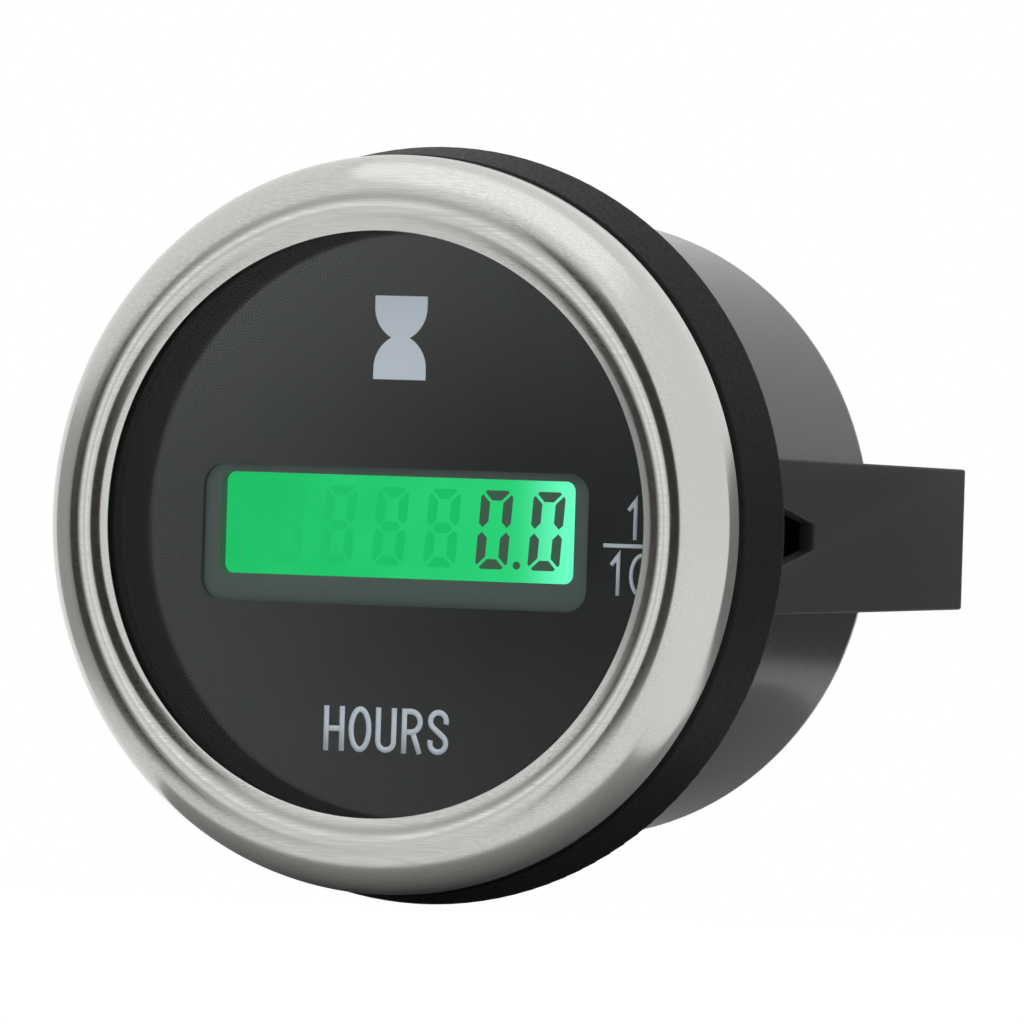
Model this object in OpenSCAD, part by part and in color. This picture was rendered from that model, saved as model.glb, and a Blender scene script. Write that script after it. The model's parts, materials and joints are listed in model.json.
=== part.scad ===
// Round panel hour meter with a lit display, a gasket ring and a U clamp.
// The front looks along -Y, +Z is up, and the panel's front face is the plane Y = 0.
// Shapes are drawn lying face up: X across, Y up the dial, Z forward from the panel.

/* [Gasket ring] */
// Diameter of the gasket ring at its back, where it meets the panel
gasket_d = 62; // [61:0.1:66]
// Diameter of the gasket ring at its front, behind the bezel
gasket_front_d = 60.4; // [59.6:0.1:61.8]
// Thickness of the gasket ring, front to back
gasket_t = 7.3; // [7:0.1:10]
// Rounding of the gasket's front and back edges
gasket_edge_r = 0.7; // [0.2:0.1:1.2]
// Gap between the gasket and the case
gasket_clear = 0.1; // [0.05:0.05:0.3]

/* [Bezel] */
// Outer diameter of the bezel
bezel_d = 60.1; // [59:0.1:62]
// Thickness of the bezel's sheet
bezel_sheet = 0.6; // [0.4:0.1:0.8]
// Radius of the bezel's round face, from its wall over the crest to the lip
face_r = 4.2; // [3.8:0.1:4.6]
// Diameter of the opening in the bezel
lip_d = 47.4; // [46:0.1:49.5]
// Gap between the bezel's lip and the lens
lip_clear = 0.05; // [0.05:0.05:0.2]
// Gap between the rolled rim and the case hub
rim_clear = 0.3; // [0.1:0.1:0.6]

/* [Lens] */
// Thickness of the lens
lens_t = 2.25; // [1.6:0.05:2.6]
// Gap between the lens edge and the bezel
lens_clear = 0.3; // [0.1:0.1:0.6]
// Thickness of the seal behind the lens
seal_t = 0.5; // [0.3:0.1:0.8]
// Width of the seal behind the lens
seal_w = 1.1; // [0.6:0.1:1.6]

/* [Case] */
// Diameter of the case behind the panel
case_d = 51.9; // [50.5:0.1:53]
// Depth of the case behind the panel's front face
case_depth = 32.2; // [28:0.1:40]
// Thickness of the case's side wall
case_wall = 1.6; // [1.2:0.1:2]
// Thickness of the case's back wall
case_floor = 2.4; // [1.6:0.1:3.5]
// Rounding of the case's back edge
case_edge_r = 2; // [0.5:0.1:3]
// Thickness of the flange held by the bezel
flange_t = 1.5; // [1:0.1:2]
// Gap between the flange and the bezel wall
flange_clear = 0.25; // [0.1:0.05:0.5]
// Length of the hub that sits inside the gasket
hub_len = 1.8; // [1:0.1:3]
// Wall of the hub round the dial
hub_wall = 1.1; // [0.8:0.1:1.4]

/* [Dial] */
// Diameter of the dial plate
dial_d = 52.4; // [51.6:0.1:53]
// Thickness of the dial plate
dial_t = 0.5; // [0.3:0.1:0.8]
// Depth of the dial's face below the flange's front
dial_drop = 0.9; // [0.5:0.1:1.2]
// Gap between the dial and the hub
dial_clear = 0.1; // [0.05:0.05:0.3]
// Width of the ring between dial and lens
spacer_w = 1.7; // [1:0.1:2]
// Width of the cut-out in the dial
cutout_w = 34.3; // [33:0.1:36]
// Height of the cut-out in the dial
cutout_h = 11.2; // [10.4:0.1:13]
// Corner radius of the cut-out
cutout_r = 1.8; // [0.5:0.1:3]
// Height of the cut-out's centre above the dial's centre
cutout_y = -1; // [-2:0.1:1]

/* [Display] */
// Width of the lit window
window_w = 31.5; // [30:0.1:32.6]
// Height of the lit window
window_h = 8.3; // [7.4:0.1:9]
// Corner radius of the lit window
window_r = 0.8; // [0.2:0.1:1.5]
// Height of the display's centre above the dial's centre
display_y = -0.2; // [-1:0.1:1]
// Width of the display glass
glass_w = 36; // [34.5:0.1:37]
// Height of the display glass
glass_h = 14; // [13.4:0.1:15]
// Thickness of each of the two glass layers
glass_t = 1.1; // [0.7:0.1:1.4]
// Width of the contact ledge on the glass
ledge_w = 1.9; // [1.5:0.1:2.2]
// Width of a contact strip
strip_w = 1.5; // [1:0.1:1.5]
// Length of a contact strip
strip_l = 33; // [28:0.5:34]
// Thickness of the light guide
guide_t = 2.4; // [1.8:0.1:3]
// Width of the light guide
guide_w = 31; // [29:0.5:31]
// Length of a backlight lamp along the guide
led_l = 1.6; // [1.2:0.1:1.6]
// Width of a backlight lamp
led_w = 3; // [2:0.1:4]
// Gap between a lamp and the guide
led_gap = 0.2; // [0.1:0.1:0.2]
// Thickness of the holder's front lip
holder_lip = 1.1; // [0.4:0.1:1.4]
// Thickness of the holder's walls
holder_wall = 1.5; // [1:0.1:1.8]
// Gap between the holder and the glass
holder_clear = 0.2; // [0.1:0.1:0.4]

/* [Circuit board] */
// Thickness of the circuit board
board_t = 1.6; // [1:0.1:2]
// Gap between the board and the case wall
board_clear = 0.9; // [0.4:0.1:1.2]
// Distance of the board screws from the board's edge
screw_inset = 4; // [3.4:0.1:4.4]
// Diameter of a screw's shank
screw_d = 2.1; // [1.6:0.1:2.4]
// Length of a screw below its head
screw_l = 8; // [5:0.5:10]
// Diameter of a screw's head
screw_head_d = 4.2; // [3.4:0.1:4.6]
// Height of a screw's head
screw_head_h = 1.3; // [0.8:0.1:1.8]
// Gap round a screw in its hole
screw_clear = 0.1; // [0.05:0.05:0.3]
// Wall of a screw post round its hole
post_wall = 1.5; // [1:0.1:1.8]
// Thickness of the rib behind a screw post
rib_t = 1.2; // [0.8:0.1:2]

/* [Board parts] */
// Diameter of the supply capacitor
capacitor_d = 8; // [6:0.5:9]
// Height of the supply capacitor
capacitor_h = 11; // [6:0.5:14]
// Distance of the supply capacitor to the right of the board's centre
capacitor_x = 14; // [12:0.1:16]
// Distance of the supply capacitor above the board's centre
capacitor_y = 5; // [3:0.1:7]
// Radius of the groove rolled into the capacitor's can
groove_r = 0.5; // [0.3:0.1:0.7]
// Distance of that groove from the board
groove_up = 2.5; // [1.5:0.1:3.5]
// Width of the controller chip's body
controller_w = 12.8; // [10:0.1:13]
// Height of the controller chip's body
controller_h = 7.5; // [5.5:0.1:8]
// Thickness of the controller chip's body
controller_t = 2.3; // [1.5:0.1:2.6]
// Distance of the controller chip above the board's centre
controller_y = 3; // [2.5:0.1:4]
// Width of the memory chip's body
memory_w = 4.9; // [4:0.1:5.5]
// Height of the memory chip's body
memory_h = 3.9; // [3:0.1:4.4]
// Thickness of the memory chip's body
memory_t = 1.5; // [1:0.1:1.8]
// Distance of the memory chip to the left of the board's centre
memory_x = 14; // [12:0.1:16]
// Distance of the memory chip above the board's centre
memory_y = 4; // [3:0.1:6]
// Spacing of the chip legs
leg_pitch = 1.27; // [1:0.01:1.3]
// Length of the crystal's can
crystal_l = 11; // [8:0.1:12]
// Width of the crystal's can
crystal_w = 4.6; // [3.5:0.1:5]
// Height of the crystal's can
crystal_h = 3.5; // [2.5:0.1:4.5]
// Distance of the crystal below the board's centre
crystal_drop = 5.5; // [4.8:0.1:6.5]
// Width of the voltage regulator's body
regulator_w = 4.5; // [3.5:0.1:5]
// Height of the voltage regulator's body
regulator_h = 2.5; // [2:0.1:3]
// Thickness of the voltage regulator's body
regulator_t = 1.5; // [1:0.1:2]
// Distance of the voltage regulator to the right of the board's centre
regulator_x = 12; // [10.5:0.1:13]
// Width of the input diode's body
diode_w = 4.3; // [3.5:0.1:5]
// Height of the input diode's body
diode_h = 2.6; // [2:0.1:3]
// Thickness of the input diode's body
diode_t = 2.2; // [1.5:0.1:2.6]
// Distance of the input diode to the left of the board's centre
diode_x = 12.5; // [11:0.1:13.5]
// Distance of the regulator and the diode below the board's centre
power_drop = 6.5; // [5.5:0.1:7.5]
// Width of a resistor
resistor_w = 1.2; // [0.8:0.1:1.6]
// Height of a resistor
resistor_h = 2; // [1.6:0.1:2.4]
// Thickness of a resistor
resistor_t = 0.5; // [0.4:0.1:0.7]
// Spacing of the resistors
resistor_pitch = 2.4; // [2:0.1:3]
// Distance of the resistors below the board's centre
resistor_drop = 16.5; // [15.5:0.1:17.5]

/* [Terminals] */
// Width of a terminal blade
blade_w = 6.3; // [4.8:0.1:6.3]
// Thickness of a terminal blade
blade_t = 0.8; // [0.5:0.1:0.8]
// Length of a blade behind the case
blade_l = 8; // [6:0.5:10]
// Diameter of the hole in a blade
blade_hole_d = 1.7; // [1:0.1:2]
// Width of a terminal's tail inside the case
tail_w = 3; // [2:0.1:4]
// Distance of each terminal above or below the centre
terminal_y = 12; // [11:0.1:13]
// Gap round a terminal where it passes a wall or the board
terminal_clear = 0.1; // [0.05:0.05:0.2]

/* [Studs and nuts] */
// Diameter of a stud
stud_d = 4; // [3:0.1:4.4]
// Distance between the two studs
stud_pitch = 28; // [26:0.5:30]
// Diameter of the head on a stud, inside the case
stud_head_d = 8; // [6:0.1:8.5]
// Thickness of the head on a stud
stud_head_t = 1.6; // [1:0.1:2.5]
// Length of stud left behind the nut
stud_tail = 3; // [2.5:0.1:6]
// Gap between a stud and its nut, and its hole in the case
stud_clear = 0.05; // [0.02:0.01:0.1]
// Gap between a stud and its washers, and its hole in the bracket
hole_clear = 0.2; // [0.1:0.05:0.4]
// Width of a nut across its flats
nut_af = 7; // [6.5:0.1:8]
// Thickness of a nut
nut_t = 3.2; // [2.4:0.1:4]
// Diameter of a flat washer
washer_d = 9; // [8:0.1:10.5]
// Thickness of a flat washer
washer_t = 0.8; // [0.5:0.1:1.2]
// Diameter of a spring washer
spring_d = 7.4; // [6.6:0.1:8]
// Thickness of a spring washer
spring_t = 1; // [0.7:0.1:1.4]
// Width of the slit in a spring washer
spring_slit = 0.7; // [0.4:0.1:1.2]

/* [Clamp bracket] */
// Thickness of the bracket's sheet
bracket_t = 1.5; // [1:0.1:1.8]
// Gap between a bracket leg and the case
leg_clear = 1.35; // [0.8:0.05:1.6]
// Width of a leg at its foot
foot_w = 12.7; // [11:0.1:15]
// Width of the bracket at its web
web_w = 11.8; // [10:0.1:14]
// Gap between the case's back and the bracket's web
web_gap = 12.7; // [10:0.1:18]
// Gap between the gasket and the bracket's feet, where the panel goes
panel_gap = 3; // [2.6:0.1:5]
// Radius of the bracket's bends, on the outside
bend_r = 2.2; // [1.9:0.1:4]
// Depth of the notch in a foot
notch_l = 8.4; // [5:0.1:12]
// Width of the notch at its mouth
notch_mouth = 5.4; // [3:0.1:7]
// Width of the notch at its root
notch_root = 2.1; // [1:0.1:3]

/* [Hidden] */
$fn = 96;
// Overrun of a cutting shape past the face it cuts
cut = 1;
// Lap of the bezel's straight wall into its round face
joint_lap = 0.2;
// Furthest that the bezel's face turns in over the lens
face_turn = 150;

// Radii from the driving diameters
gasket_r = gasket_d / 2;
gasket_front_r = gasket_front_d / 2;
bezel_r = bezel_d / 2;
lip_r = lip_d / 2;
case_r = case_d / 2;
case_in_r = case_r - case_wall;
dial_r = dial_d / 2;
dial_seat_r = dial_r + dial_clear;
hub_r = dial_seat_r + hub_wall;
rim_in_r = hub_r + rim_clear;
board_r = case_in_r - board_clear;
stud_r = stud_d / 2;
stud_hole_r = stud_r + stud_clear;
loose_hole_r = stud_r + hole_clear;
stud_x = stud_pitch / 2;

// Heights forward of the panel's front face, from the bezel back through the stack
bezel_back = gasket_t;
flange_back = bezel_back + bezel_sheet;
flange_front = flange_back + flange_t;
lens_back = flange_front + seal_t;
lens_front = lens_back + lens_t;
dial_front = flange_front - dial_drop;
dial_back = dial_front - dial_t;
glass_front = dial_back - holder_lip;
glass_mid = glass_front - glass_t;
glass_back = glass_mid - glass_t;
board_front = glass_back - guide_t;
board_back = board_front - board_t;
case_back = -case_depth;
floor_front = case_back + case_floor;

// Bezel face: centre of its round, inside radius, and the turn at which its edge meets the lens
face_x = bezel_r - face_r;
face_in_r = face_r - bezel_sheet;
lip_angle = acos(max(cos(face_turn), (lip_r - face_x) / face_r));
face_z = lens_front + lip_clear - face_in_r * sin(lip_angle);

// Room inside the round face for the lens and the flange, at the height of their front faces
lens_reach = max(0, lens_front - face_z);
lens_r = face_x + sqrt(pow(face_in_r, 2) - pow(lens_reach, 2)) - lens_clear;
flange_reach = max(0, flange_front - face_z);
flange_r = face_x + sqrt(pow(face_in_r, 2) - pow(flange_reach, 2)) - flange_clear;

// Holder outline and its pocket for the glass
guide_span = guide_w + 2 * (led_gap + led_l);
pocket_w = max(glass_w, guide_span) + 2 * holder_clear;
pocket_h = glass_h + 2 * holder_clear;
holder_w = pocket_w + 2 * holder_wall;
holder_h = pocket_h + 2 * holder_wall;
guide_h = glass_h - 2 * ledge_w - 2 * holder_clear;

// Screw posts stand on a ring, one above and two below the display
post_ring_r = board_r - screw_inset;
post_angles = [90, 225, 315];
screw_hole_r = screw_d / 2 + screw_clear;
post_r = screw_hole_r + post_wall;

// Bracket planes, and the fasteners stacked behind its web
leg_in_x = case_r + leg_clear;
leg_out_x = leg_in_x + bracket_t;
foot_front = -panel_gap;
web_front = case_back - web_gap;
web_back = web_front - bracket_t;
washer_back = web_back - washer_t;
spring_back = washer_back - spring_t;
nut_back = spring_back - nut_t;
stud_end = nut_back - stud_tail;

// Stands the face-up shape upright, with its front towards -Y
module upright() {
    rotate([90, 0, 0]) children();
}

// Rectangle with round corners, centred
module rounded_rect(w, h, r) {
    square([w - 2 * r, h], center = true);
    square([w, h - 2 * r], center = true);
    for (sx = [-1, 1], sy = [-1, 1])
        translate([sx * (w / 2 - r), sy * (h / 2 - r)]) circle(r);
}

// Flat plate of a 2D outline between two heights
module slab(back, front) {
    translate([0, 0, back]) linear_extrude(height = front - back) children();
}

// Block centred across, between two heights
module block(w, h, back, front) {
    slab(back, front) square([w, h], center = true);
}

// Round ring between two heights
module ring(r_out, r_in, back, front) {
    slab(back, front) difference() {
        circle(r_out);
        circle(r_in);
    }
}

// Copies a shape at the place of each screw post
module at_posts() {
    for (a = post_angles)
        rotate([0, 0, a]) translate([post_ring_r, 0, 0]) children();
}

// Copies a shape on each stud's axis
module at_studs() {
    for (side = [-1, 1])
        translate([side * stud_x, 0, 0]) children();
}

// Section of the formed bezel sheet: rolled rim, wall, and the round face down to the lip
module bezel_section() {
    wall_x = bezel_r - bezel_sheet;
    far = 2 * face_r;
    translate([rim_in_r, bezel_back]) square([wall_x - rim_in_r, bezel_sheet]);
    translate([wall_x, flange_back]) difference() {
        circle(bezel_sheet);
        translate([-bezel_sheet, 0]) square(bezel_sheet);
    }
    translate([wall_x, flange_back]) square([bezel_sheet, face_z - flange_back]);
    translate([face_x, face_z]) intersection() {
        difference() {
            circle(face_r);
            circle(face_in_r);
        }
        polygon([[0, 0], [face_in_r / 2, -joint_lap], [far, -joint_lap], [far, far],
            far * [cos(lip_angle), sin(lip_angle)]]);
    }
}

module bezel() {
    color("silver") upright() rotate_extrude() bezel_section();
}

module lens() {
    color("lightcyan", 0.35) upright() slab(lens_back, lens_front) circle(lens_r);
}

module lens_gasket() {
    seal_out_r = min(lens_r, flange_r);
    seal_in_r = max(dial_seat_r, seal_out_r - seal_w);
    color("dimgray") upright() ring(seal_out_r, seal_in_r, flange_front, lens_back);
}

module dial_spacer() {
    color("black") upright() ring(dial_r, dial_r - spacer_w, dial_front, lens_back);
}

module dial_plate() {
    color("#2e3131") upright() slab(dial_back, dial_front) difference() {
        circle(dial_r);
        translate([0, cutout_y]) rounded_rect(cutout_w, cutout_h, cutout_r);
    }
}

// Frame with a front lip that the glass sits behind
module lcd_holder() {
    color("#454e4a") upright() translate([0, display_y, 0]) difference() {
        block(holder_w, holder_h, board_front, dial_back);
        block(pocket_w, pocket_h, board_front - cut, glass_front);
        slab(glass_front - cut, dial_back + cut) rounded_rect(window_w, window_h, window_r);
    }
}

// Two glass layers, the back one narrower so that the contact ledges are bare
module lcd_panel() {
    color("#3ddd7c") upright() translate([0, display_y, 0]) {
        block(glass_w, glass_h, glass_mid, glass_front);
        block(glass_w, glass_h - 2 * ledge_w, glass_back, glass_mid);
    }
}

module light_guide() {
    color("honeydew") upright() translate([0, display_y, 0])
        block(guide_w, guide_h, board_front, glass_back);
}

module contact_strips() {
    strip_y = glass_h / 2 - ledge_w / 2;
    color("slategray") upright() translate([0, display_y, 0])
        for (side = [-1, 1])
            translate([0, side * strip_y, 0]) block(strip_l, strip_w, board_front, glass_mid);
}

// Side-looking lamps at both ends of the light guide
module backlight_leds() {
    led_x = guide_w / 2 + led_gap + led_l / 2;
    lamp_back = board_front;
    lamp_front = board_front + guide_t * 0.8;
    color("ivory") upright() translate([0, display_y, 0])
        for (side = [-1, 1])
            translate([side * led_x, 0, 0]) block(led_l, led_w, lamp_back, lamp_front);
}

module circuit_board() {
    slot_w = tail_w + 2 * terminal_clear;
    slot_h = blade_t + 2 * terminal_clear;
    color("darkgreen") upright() difference() {
        slab(board_back, board_front) difference() {
            circle(board_r);
            for (side = [-1, 1])
                translate([0, side * terminal_y]) square([slot_w, slot_h], center = true);
        }
        at_posts() translate([0, 0, board_back - cut]) cylinder(r = screw_hole_r, h = board_t + 2 * cut);
    }
}

// Chip on the board's back with a row of bent legs along each long side
module gull_chip(w, h, t) {
    leg_w = 0.4;
    leg_t = 0.25;
    leg_reach = 1.4;
    leg_foot = 0.7;
    stand_off = 0.1;
    legs = floor((w - 2 * leg_w) / leg_pitch) + 1;
    row_l = (legs - 1) * leg_pitch;
    top = board_back - stand_off;
    block(w, h, top - t, top);
    for (i = [0 : legs - 1], side = [-1, 1])
        translate([i * leg_pitch - row_l / 2, side * h / 2, 0]) {
            translate([0, side * leg_reach / 4, 0])
                block(leg_w, leg_reach / 2 + leg_t, top - t / 2, top - t / 2 + leg_t);
            translate([0, side * leg_reach / 2, 0])
                block(leg_w, leg_t, board_back - t / 2 - stand_off, board_back);
            translate([0, side * (leg_reach / 2 + leg_foot / 2), 0])
                block(leg_w, leg_foot, board_back - leg_t, board_back);
        }
}

module controller_chip() {
    color("#222222") upright() translate([0, controller_y, 0])
        gull_chip(controller_w, controller_h, controller_t);
}

module memory_chip() {
    color("#222222") upright() translate([-memory_x, memory_y, 0])
        gull_chip(memory_w, memory_h, memory_t);
}

// Oval metal can lying on the board
module quartz_crystal() {
    color("silver") upright() translate([0, -crystal_drop, 0])
        slab(board_back - crystal_h, board_back) {
            square([crystal_l - crystal_w, crystal_w], center = true);
            for (side = [-1, 1])
                translate([side * (crystal_l - crystal_w) / 2, 0]) circle(crystal_w / 2);
        }
}

// Round can with a rolled groove near its foot
module supply_capacitor() {
    can_r = capacitor_d / 2;
    color("midnightblue") upright() translate([capacitor_x, capacitor_y, 0]) rotate_extrude() difference() {
        translate([0, board_back - capacitor_h]) square([can_r, capacitor_h]);
        translate([can_r, board_back - groove_up]) circle(groove_r, $fn = 48);
    }
}

// Flat body with a wide tab on one side and three legs on the other
module voltage_regulator() {
    tab_w = 1.8;
    tab_l = 1.2;
    leg_w = 0.45;
    leg_l = 0.9;
    metal_t = 0.4;
    color("#2a2a2a") upright() translate([regulator_x, -power_drop, 0]) {
        block(regulator_w, regulator_h, board_back - regulator_t, board_back);
        translate([0, (regulator_h + tab_l) / 2, 0])
            block(tab_w, tab_l, board_back - metal_t, board_back);
        for (i = [-1, 0, 1])
            translate([i * regulator_w / 3, -(regulator_h + leg_l) / 2, 0])
                block(leg_w, leg_l, board_back - metal_t, board_back);
    }
}

// Moulded diode with a folded tab at each end
module input_diode() {
    tab_l = 1.2;
    tab_w = 1.5;
    tab_t = 0.3;
    color("#1c1c1c") upright() translate([-diode_x, -power_drop, 0]) {
        block(diode_w, diode_h, board_back - diode_t, board_back);
        for (side = [-1, 1])
            translate([side * (diode_w + tab_l) / 2, 0, 0])
                block(tab_l, tab_w, board_back - tab_t, board_back);
    }
}

// Row of small chip resistors on the board's back
module resistors() {
    count = 5;
    color("#303030") upright()
        for (i = [0 : count - 1])
            translate([(i - (count - 1) / 2) * resistor_pitch, -resistor_drop, 0])
                block(resistor_w, resistor_h, board_back - resistor_t, board_back);
}

// Pan-head screws that hold the board on its posts
module board_screws() {
    head_r = screw_head_d / 2;
    edge_r = screw_head_h / 2;
    color("lightgray") upright() at_posts() rotate_extrude() {
        translate([0, board_front - screw_l]) square([screw_d / 2, screw_l]);
        translate([0, board_front]) square([head_r, screw_head_h - edge_r]);
        translate([0, board_front]) square([head_r - edge_r, screw_head_h]);
        translate([head_r - edge_r, board_front + screw_head_h - edge_r]) circle(edge_r);
    }
}

// Section of the cup: barrel with a round back edge, hub and flange, hollowed from the front
module case_section() {
    straight_back = case_back + case_edge_r;
    difference() {
        union() {
            translate([0, straight_back]) square([case_r, gasket_t - straight_back]);
            translate([0, case_back]) square([case_r - case_edge_r, case_edge_r]);
            translate([case_r - case_edge_r, straight_back]) circle(case_edge_r);
            translate([0, gasket_t - hub_len]) square([hub_r, hub_len + bezel_sheet]);
            translate([0, flange_back]) square([flange_r, flange_t]);
        }
        translate([-cut, floor_front]) square([case_in_r + cut, flange_front - floor_front + cut]);
        translate([-cut, dial_back]) square([dial_seat_r + cut, flange_front - dial_back + cut]);
    }
}

// Cup with screw posts inside, and holes for the studs and terminals in its back wall
module case() {
    post_l = board_back - floor_front;
    rib_l = case_in_r - post_ring_r;
    slot_w = blade_w + 2 * terminal_clear;
    slot_h = blade_t + 2 * terminal_clear;
    color("#4a4b4d") upright() difference() {
        union() {
            rotate_extrude() case_section();
            at_posts() translate([0, 0, floor_front - case_floor / 2])
                cylinder(r = post_r, h = post_l + case_floor / 2);
            at_posts() translate([0, -rib_t / 2, floor_front - case_floor / 2])
                cube([rib_l + case_wall / 2, rib_t, post_l + case_floor / 2 - board_t]);
        }
        at_posts() translate([0, 0, board_front - screw_l - cut])
            cylinder(r = screw_hole_r, h = screw_l + cut);
        at_studs() translate([0, 0, case_back - cut]) cylinder(r = stud_hole_r, h = case_floor + 2 * cut);
        for (side = [-1, 1])
            translate([0, side * terminal_y, 0]) block(slot_w, slot_h, case_back - cut, floor_front + cut);
    }
}

// Outline of the gasket's section: round edges joined by a side that leans in towards the bezel
module gasket_outline() {
    back_c = [gasket_r - gasket_edge_r, gasket_edge_r];
    front_c = [gasket_front_r - gasket_edge_r, gasket_t - gasket_edge_r];
    lean = atan2(back_c[0] - front_c[0], front_c[1] - back_c[1]);
    side = gasket_edge_r * [cos(lean), sin(lean)];
    polygon([[0, 0], [back_c[0], 0], back_c, back_c + side, front_c + side, front_c,
        [front_c[0], gasket_t], [0, gasket_t]]);
    translate(back_c) circle(gasket_edge_r);
    translate(front_c) circle(gasket_edge_r);
}

// Thick ring, stepped in front to take the case's hub
module panel_gasket() {
    color("#1b1b1b") upright() rotate_extrude() difference() {
        gasket_outline();
        translate([-cut, -cut]) square([case_r + gasket_clear + cut, gasket_t + 2 * cut]);
        translate([-cut, gasket_t - hub_len]) square([hub_r + gasket_clear + cut, hub_len + cut]);
    }
}

// Stamped strip: blade behind the case, shoulder on the back wall, tail to the board
module terminal() {
    tip = case_back - blade_l;
    tip_chamfer = 1;
    hole_up = 3.2;
    shoulder_w = blade_w + 1.7;
    shoulder_l = 1.5;
    tail_past_board = 0.6;
    rotate([90, 0, 0]) linear_extrude(height = blade_t, center = true) difference() {
        union() {
            polygon([[-blade_w / 2, floor_front], [-blade_w / 2, tip + tip_chamfer],
                [-blade_w / 2 + tip_chamfer, tip], [blade_w / 2 - tip_chamfer, tip],
                [blade_w / 2, tip + tip_chamfer], [blade_w / 2, floor_front]]);
            translate([-shoulder_w / 2, floor_front]) square([shoulder_w, shoulder_l]);
            translate([-tail_w / 2, floor_front])
                square([tail_w, board_front + tail_past_board - floor_front]);
        }
        translate([0, tip + hole_up]) circle(blade_hole_d / 2);
    }
}

module positive_terminal() {
    color("goldenrod") upright() translate([0, terminal_y, 0]) terminal();
}

module negative_terminal() {
    color("goldenrod") upright() translate([0, -terminal_y, 0]) terminal();
}

// Studs with a round head against the inside of the case's back wall
module mounting_studs() {
    end_chamfer = 0.5;
    color("gainsboro") upright() at_studs() rotate_extrude() {
        translate([0, floor_front]) square([stud_head_d / 2, stud_head_t]);
        polygon([[0, stud_end], [stud_r - end_chamfer, stud_end], [stud_r, stud_end + end_chamfer],
            [stud_r, floor_front], [0, floor_front]]);
    }
}

// Plan of the folded U, seen from above: two legs and a web with round bends
module bracket_plan() {
    bend_in_r = bend_r - bracket_t;
    leg_l = foot_front - web_back;
    difference() {
        union() {
            translate([-leg_out_x, web_back + bend_r]) square([2 * leg_out_x, leg_l - bend_r]);
            translate([-leg_out_x + bend_r, web_back]) square([2 * (leg_out_x - bend_r), bend_r]);
            for (side = [-1, 1])
                translate([side * (leg_out_x - bend_r), web_back + bend_r]) circle(bend_r);
        }
        translate([-leg_in_x, web_front + bend_in_r]) square([2 * leg_in_x, leg_l]);
        translate([-leg_in_x + bend_in_r, web_front]) square([2 * (leg_in_x - bend_in_r), leg_l]);
        for (side = [-1, 1])
            translate([side * (leg_in_x - bend_in_r), web_front + bend_in_r]) circle(bend_in_r);
    }
}

// Side outline of a leg: tapered strip with a notch in its foot
module leg_side() {
    notch_end = foot_front - notch_l;
    difference() {
        polygon([[-foot_w / 2, foot_front], [foot_w / 2, foot_front],
            [web_w / 2, web_back], [-web_w / 2, web_back]]);
        polygon([[-notch_mouth / 2, foot_front + cut], [notch_mouth / 2, foot_front + cut],
            [notch_mouth / 2, foot_front], [notch_root / 2, notch_end],
            [-notch_root / 2, notch_end], [-notch_mouth / 2, foot_front]]);
    }
}

// U clamp that straddles the case and stands its feet on the back of the panel
module clamp_bracket() {
    span = 2 * leg_out_x;
    height = max(foot_w, web_w);
    color("#3f4042") upright() difference() {
        intersection() {
            rotate([90, 0, 0]) linear_extrude(height = height, center = true) bracket_plan();
            rotate([90, 0, 90]) linear_extrude(height = span + 2 * cut, center = true) leg_side();
        }
        at_studs() translate([0, 0, web_back - cut]) cylinder(r = loose_hole_r, h = bracket_t + 2 * cut);
    }
}

module flat_washers() {
    color("lightgray") upright() at_studs() ring(washer_d / 2, loose_hole_r, washer_back, web_back);
}

// Split washers, pressed flat
module spring_washers() {
    color("lightgray") upright() at_studs() difference() {
        ring(spring_d / 2, loose_hole_r, spring_back, washer_back);
        translate([0, spring_d / 2, (spring_back + washer_back) / 2]) rotate([0, 45, 0])
            cube([spring_slit, spring_d, 3 * spring_t], center = true);
    }
}

// Hexagon nut with its corners turned down on both faces
module hex_nut() {
    corner_r = nut_af / 2 / cos(30);
    face_r = nut_af / 2 * 0.96;
    bevel = (corner_r - face_r) * tan(30);
    difference() {
        intersection() {
            translate([0, 0, nut_back]) rotate([0, 0, 30]) cylinder(r = corner_r, h = nut_t, $fn = 6);
            rotate_extrude() polygon([[0, nut_back], [face_r, nut_back], [corner_r, nut_back + bevel],
                [corner_r, spring_back - bevel], [face_r, spring_back], [0, spring_back]]);
        }
        translate([0, 0, nut_back - cut]) cylinder(r = stud_hole_r, h = nut_t + 2 * cut);
    }
}

module nut_left() {
    color("gainsboro") upright() translate([-stud_x, 0, 0]) hex_nut();
}

module nut_right() {
    color("gainsboro") upright() translate([stud_x, 0, 0]) hex_nut();
}

bezel();
lens();
lens_gasket();
dial_spacer();
dial_plate();
lcd_holder();
lcd_panel();
light_guide();
contact_strips();
circuit_board();
backlight_leds();
controller_chip();
memory_chip();
quartz_crystal();
supply_capacitor();
voltage_regulator();
input_diode();
resistors();
board_screws();
case();
panel_gasket();
positive_terminal();
negative_terminal();
mounting_studs();
clamp_bracket();
flat_washers();
spring_washers();
nut_left();
nut_right();
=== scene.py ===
"""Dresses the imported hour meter: finishes for every node, and the fine pieces that the solids leave out."""

import json
import logging
import math
from dataclasses import dataclass
from enum import Enum
from typing import Any, Iterable, Optional, Union

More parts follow.
